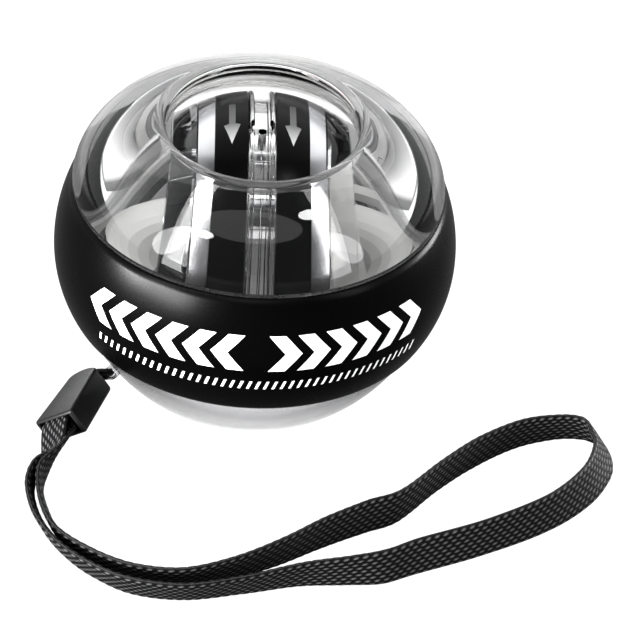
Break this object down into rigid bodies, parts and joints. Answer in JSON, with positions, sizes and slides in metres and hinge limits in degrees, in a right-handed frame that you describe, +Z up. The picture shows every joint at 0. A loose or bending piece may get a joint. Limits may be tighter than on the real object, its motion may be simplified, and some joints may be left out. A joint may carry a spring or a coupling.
{
  "type": "gyroscopic wrist ball",
  "caption": "Clear ball-shaped wrist exerciser with a soft grip band, a heavy spring-started rotor seen through its round top opening, and a braided wrist strap.",
  "frame": {"origin": "centre of the ball's flat base, on the floor", "axes": "+Z up through the middle of the thumb opening, +X along the rotor's axle at rest, -Y towards the viewer of the picture"},
  "size_m": [0.1057, 0.106, 0.057],
  "materials": {
    "clear_plastic": "clear, polished",
    "black_rubber": "satin",
    "black_label": "satin film",
    "chrome": "polished plating",
    "steel": "turned",
    "black_plastic": "satin",
    "white_plastic": "moulded",
    "black_braid": "woven, matt"
  },
  "bodies": {
    "casing": {"lower_shell": "clear_plastic", "upper_shell": "clear_plastic", "grip_band": "black_rubber", "lanyard_string": "black_braid", "lanyard_connector": "black_plastic", "wrist_strap": "black_braid"},
    "ring": {"race_ring": "white_plastic", "spring_case": "white_plastic", "spring_cover": "white_plastic", "mainspring": "steel", "case_screw_1": "steel", "case_screw_2": "steel"},
    "rotor": {"axle": "steel", "rotor_core_left": "clear_plastic", "rotor_core_right": "clear_plastic", "string_ring": "clear_plastic", "weight_ring_left": "chrome", "weight_ring_right": "chrome", "label_band_left": "black_label", "label_band_right": "black_label", "side_cap": "white_plastic", "axle_bush_left": "white_plastic", "axle_bush_right": "white_plastic", "rotor_screw_1": "steel", "rotor_screw_2": "steel", "rotor_screw_3": "steel", "pawl_pin_1": "steel", "pawl_pin_2": "steel"},
    "arbor": {"spring_arbor": "white_plastic"},
    "pawl one": {"pawl_1": "steel"},
    "pawl two": {"pawl_2": "steel"}
  },
  "joints": [
    {"name": "ring_precession", "type": "hinge", "parent": "casing", "child": "ring", "pos_m": [0, 0, 0.0295], "axis": [0, 0, 1], "continuous": true},
    {"name": "rotor_spin", "type": "hinge", "parent": "ring", "child": "rotor", "pos_m": [0, 0, 0.0295], "axis": [1, 0, 0], "continuous": true},
    {"name": "arbor_wind", "type": "hinge", "parent": "ring", "child": "arbor", "pos_m": [0, 0, 0.0295], "axis": [1, 0, 0], "range_deg": [0, 690]},
    {"name": "pawl_1_swing", "type": "hinge", "parent": "rotor", "child": "pawl one", "pos_m": [0.006, 0.0098, 0.0295], "axis": [1, 0, 0], "range_deg": [0, 8.5]},
    {"name": "pawl_2_swing", "type": "hinge", "parent": "rotor", "child": "pawl two", "pos_m": [0.006, -0.0098, 0.0295], "axis": [1, 0, 0], "range_deg": [0, 8.5]}
  ]
}
